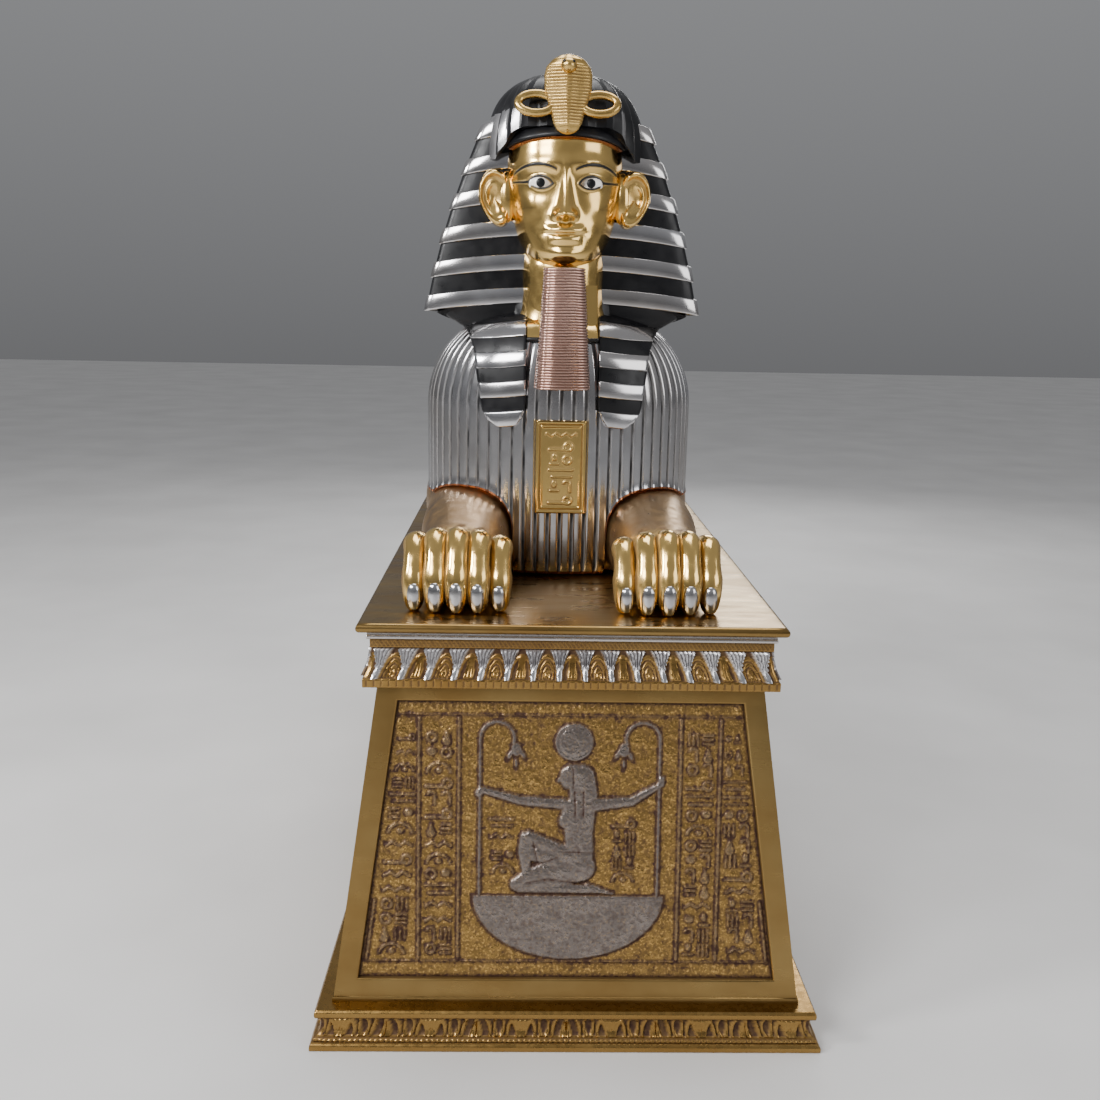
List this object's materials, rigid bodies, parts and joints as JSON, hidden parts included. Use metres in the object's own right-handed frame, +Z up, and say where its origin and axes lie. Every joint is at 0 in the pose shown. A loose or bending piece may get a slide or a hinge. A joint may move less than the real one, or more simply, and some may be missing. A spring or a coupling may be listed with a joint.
{
  "type": "sphinx statue on a tapered plinth",
  "caption": "Crouching sphinx in gilt, silvered and black-enamelled metal on its own tapered plinth with moulded cornice, relief panels and foot.",
  "frame": {"origin": "centre of the underside of the plinth's foot", "axes": "+Z up; the sphinx looks along -Y, so its length lies along Y; +X is to the right of someone facing it"},
  "size_m": [0.515, 1.035, 0.9858],
  "materials": {
    "polished_gilt": "polished gold plate on cast brass",
    "satin_gilt": "satin gold plate, slightly toned",
    "antique_gilt": "toned gold relief, dark in the hollows",
    "satin_bronze": "brown satin bronze",
    "silver_plate": "silver plate with black grooves",
    "silver_and_black": "silver stripes on black enamel",
    "copper_plate": "rose copper plate with dark grooves",
    "eye_enamel": "white enamel with a black pupil"
  },
  "bodies": {
    "root": {"plinth_foot": "antique_gilt", "plinth_body": "satin_gilt", "panel_front": "antique_gilt", "panel_back": "antique_gilt", "panel_left": "antique_gilt", "panel_right": "antique_gilt", "plinth_cornice": "antique_gilt", "plinth_top": "satin_gilt", "lion_body": "satin_bronze", "cape": "silver_plate", "headdress": "silver_and_black", "head": "polished_gilt", "eye_left": "eye_enamel", "eye_right": "eye_enamel", "beard": "copper_plate", "uraeus": "polished_gilt", "chest_plaque": "polished_gilt"}
  },
  "joints": []
}
